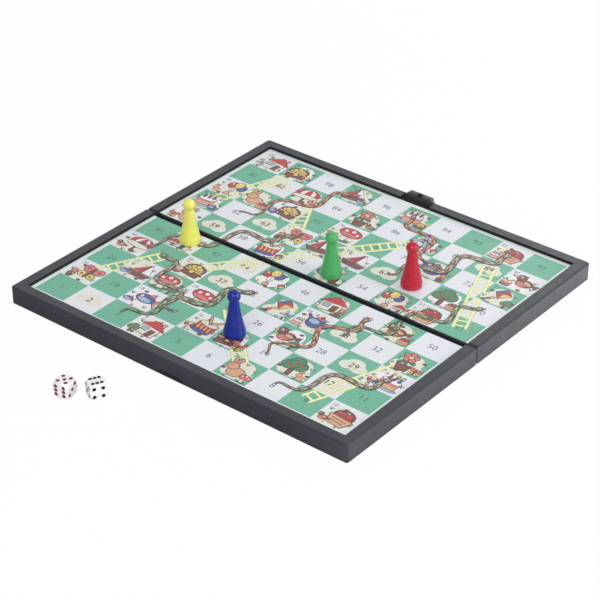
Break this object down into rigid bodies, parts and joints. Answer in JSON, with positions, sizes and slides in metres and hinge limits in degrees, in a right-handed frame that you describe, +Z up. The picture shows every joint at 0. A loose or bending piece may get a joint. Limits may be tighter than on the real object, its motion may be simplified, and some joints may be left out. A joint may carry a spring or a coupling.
{
  "type": "folding board game box",
  "caption": "Folding board-game box: shallow trays on link hinges lie open as a printed chequered field with magnetic pawns and dice; a flip-over clasp holds it shut.",
  "frame": {"origin": "middle of the far half's seam wall, on its underside; the seam between the halves lies 2.2 mm toward -Y", "axes": "+X along the seam, +Y from the near wall toward the latch wall, +Z up out of the playing field"},
  "size_m": [0.2, 0.2347, 0.0319],
  "materials": {
    "case_plastic": "semi-gloss black injection-moulded polystyrene",
    "sheet_steel": "bare tin-plated sheet",
    "printed_sheet": "printed and laminated paper, green and white chequers",
    "link_plastic": "matt black moulded nylon",
    "pin_steel": "drawn steel wire",
    "clasp_plastic": "semi-gloss dark grey moulded plastic",
    "yellow_plastic": "glossy yellow polystyrene",
    "green_plastic": "glossy green polystyrene",
    "red_plastic": "glossy red polystyrene",
    "blue_plastic": "glossy blue polystyrene",
    "magnet": "dark sintered ferrite",
    "die_plastic": "polished white acrylic with painted pips"
  },
  "bodies": {
    "far_half": {"case_far": "case_plastic", "steel_sheet_far": "sheet_steel", "play_sheet_far": "printed_sheet", "hinge_pin_far_left": "pin_steel", "hinge_pin_far_right": "pin_steel", "latch_pin": "pin_steel"},
    "hinge_links": {"hinge_link_left": "link_plastic", "hinge_link_right": "link_plastic"},
    "near_half": {"case_near": "case_plastic", "steel_sheet_near": "sheet_steel", "play_sheet_near": "printed_sheet", "hinge_pin_near_left": "pin_steel", "hinge_pin_near_right": "pin_steel"},
    "latch": {"latch_clasp": "clasp_plastic"},
    "yellow_pawn": {"pawn_yellow": "yellow_plastic", "magnet_yellow": "magnet"},
    "green_pawn": {"pawn_green": "green_plastic", "magnet_green": "magnet"},
    "red_pawn": {"pawn_red": "red_plastic", "magnet_red": "magnet"},
    "blue_pawn": {"pawn_blue": "blue_plastic", "magnet_blue": "magnet"},
    "red_die": {"die_red": "die_plastic"},
    "black_die": {"die_black": "die_plastic"}
  },
  "joints": [
    {"name": "link_turn", "type": "hinge", "parent": "far_half", "child": "hinge_links", "pos_m": [0, -0.00035, 0.0017], "axis": [1, 0, 0], "range_deg": [0, 90]},
    {"name": "near_fold", "type": "hinge", "parent": "hinge_links", "child": "near_half", "pos_m": [0, -0.00405, 0.0017], "axis": [1, 0, 0], "range_deg": [0, 90]},
    {"name": "latch_swing", "type": "hinge", "parent": "far_half", "child": "latch", "pos_m": [0, 0.0934, 0.0036], "axis": [-1, 0, 0], "range_deg": [0, 180]},
    {"name": "yellow_lift", "type": "slide", "parent": "near_half", "child": "yellow_pawn", "axis": [0, 0, 1], "range_m": [0, 0.03]},
    {"name": "blue_lift", "type": "slide", "parent": "near_half", "child": "blue_pawn", "axis": [0, 0, 1], "range_m": [0, 0.03]},
    {"name": "green_lift", "type": "slide", "parent": "far_half", "child": "green_pawn", "axis": [0, 0, 1], "range_m": [0, 0.03]},
    {"name": "red_lift", "type": "slide", "parent": "far_half", "child": "red_pawn", "axis": [0, 0, 1], "range_m": [0, 0.03]},
    {"name": "red_die_lift", "type": "slide", "parent": "far_half", "child": "red_die", "axis": [0, 0, 1], "range_m": [0, 0.03]},
    {"name": "black_die_lift", "type": "slide", "parent": "far_half", "child": "black_die", "axis": [0, 0, 1], "range_m": [0, 0.03]}
  ]
}
